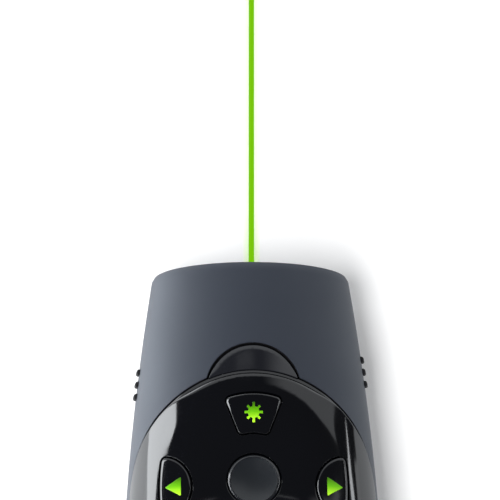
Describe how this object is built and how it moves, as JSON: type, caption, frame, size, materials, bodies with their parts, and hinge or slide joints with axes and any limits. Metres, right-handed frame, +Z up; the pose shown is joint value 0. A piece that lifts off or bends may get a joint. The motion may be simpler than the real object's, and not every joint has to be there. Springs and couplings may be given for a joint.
{
  "type": "wireless presenter",
  "caption": "Hand-held presenter: matt hood, gloss cover with a dished key pad, status window, laser nose, sliding battery door and docked plug-in receiver.",
  "frame": {"origin": "middle of the footprint, on the face that it rests on", "axes": "+Y out of the nose along the beam, +X to the right seen from above, +Z up through the keys"},
  "size_m": [0.048, 0.115, 0.0264],
  "materials": {
    "soft_touch": "matt slate grey, fine soft-touch grain",
    "gloss_black": "piano black, polished",
    "matt_key": "matt dark blue-grey with a thin bright lip",
    "smoked_window": "smoked, polished",
    "clear_plastic": "clear light guide",
    "led_body": "pale green lens",
    "green_mark": "bright green, darker at its front edge",
    "ivory_plastic": "ivory",
    "switch_steel": "stamped sheet",
    "black_rubber": "matt black ribs",
    "board_green": "green solder mask",
    "brass_barrel": "turned",
    "lens_glass": "coated glass",
    "ring_metal": "dark anodised",
    "cell_wrap": "plain printed sleeve with a copper-coloured shoulder",
    "plated_steel": "nickel plated",
    "black_plastic": "fine textured black",
    "screw_steel": "black oxide, bare in the cross slot"
  },
  "bodies": {
    "casing": {"front_hood": "soft_touch", "top_cover": "gloss_black", "bottom_shell": "soft_touch", "status_window": "smoked_window", "light_guide": "clear_plastic", "status_led": "led_body", "tact_switches": "switch_steel", "grip_left": "black_rubber", "grip_right": "black_rubber", "circuit_board": "board_green", "laser_barrel": "brass_barrel", "laser_diode": "switch_steel", "laser_board": "board_green", "collimator_lens": "lens_glass", "aperture_ring": "ring_metal", "aperture_lens": "lens_glass", "battery_cells": "cell_wrap", "cell_nubs": "plated_steel", "contact_springs": "plated_steel", "contact_plates": "plated_steel", "power_switch": "switch_steel", "receiver_dock": "black_plastic", "case_screws": "screw_steel", "board_screws": "screw_steel", "controller_chip": "black_plastic", "radio_module": "switch_steel", "crystal_can": "plated_steel"},
    "laser_button": {"laser_key": "gloss_black", "laser_mark": "green_mark", "laser_plunger": "ivory_plastic"},
    "back_button": {"back_key": "gloss_black", "back_mark": "green_mark", "back_plunger": "ivory_plastic"},
    "forward_button": {"forward_key": "gloss_black", "forward_mark": "green_mark", "forward_plunger": "ivory_plastic"},
    "blank_button": {"blank_key": "gloss_black", "blank_mark": "green_mark", "blank_plunger": "ivory_plastic"},
    "center_button": {"center_key": "matt_key", "center_plunger": "ivory_plastic"},
    "door": {"battery_door": "soft_touch"},
    "slider": {"power_slider": "black_plastic", "switch_lever": "ivory_plastic"},
    "receiver": {"receiver_grip": "black_plastic", "receiver_plug": "plated_steel", "receiver_tongue": "ivory_plastic"}
  },
  "joints": [
    {"name": "laser_press", "type": "slide", "parent": "casing", "child": "laser_button", "axis": [0, 0, -1], "range_m": [0, 0.0005], "stiffness_N_per_m": 800, "springref_m": -0.0001},
    {"name": "back_press", "type": "slide", "parent": "casing", "child": "back_button", "axis": [0, 0, -1], "range_m": [0, 0.0005], "stiffness_N_per_m": 800, "springref_m": -0.0001},
    {"name": "forward_press", "type": "slide", "parent": "casing", "child": "forward_button", "axis": [0, 0, -1], "range_m": [0, 0.0005], "stiffness_N_per_m": 800, "springref_m": -0.0001},
    {"name": "blank_press", "type": "slide", "parent": "casing", "child": "blank_button", "axis": [0, 0, -1], "range_m": [0, 0.0005], "stiffness_N_per_m": 800, "springref_m": -0.0001},
    {"name": "center_press", "type": "slide", "parent": "casing", "child": "center_button", "axis": [0, 0, -1], "range_m": [0, 0.0005], "stiffness_N_per_m": 800, "springref_m": -0.0001},
    {"name": "door_slide", "type": "slide", "parent": "casing", "child": "door", "axis": [0, -1, 0], "range_m": [0, 0.058]},
    {"name": "power_slide", "type": "slide", "parent": "casing", "child": "slider", "axis": [0, 1, 0], "range_m": [0, 0.003]},
    {"name": "receiver_slide", "type": "slide", "parent": "casing", "child": "receiver", "axis": [0, -1, 0], "range_m": [0, 0.03]}
  ]
}
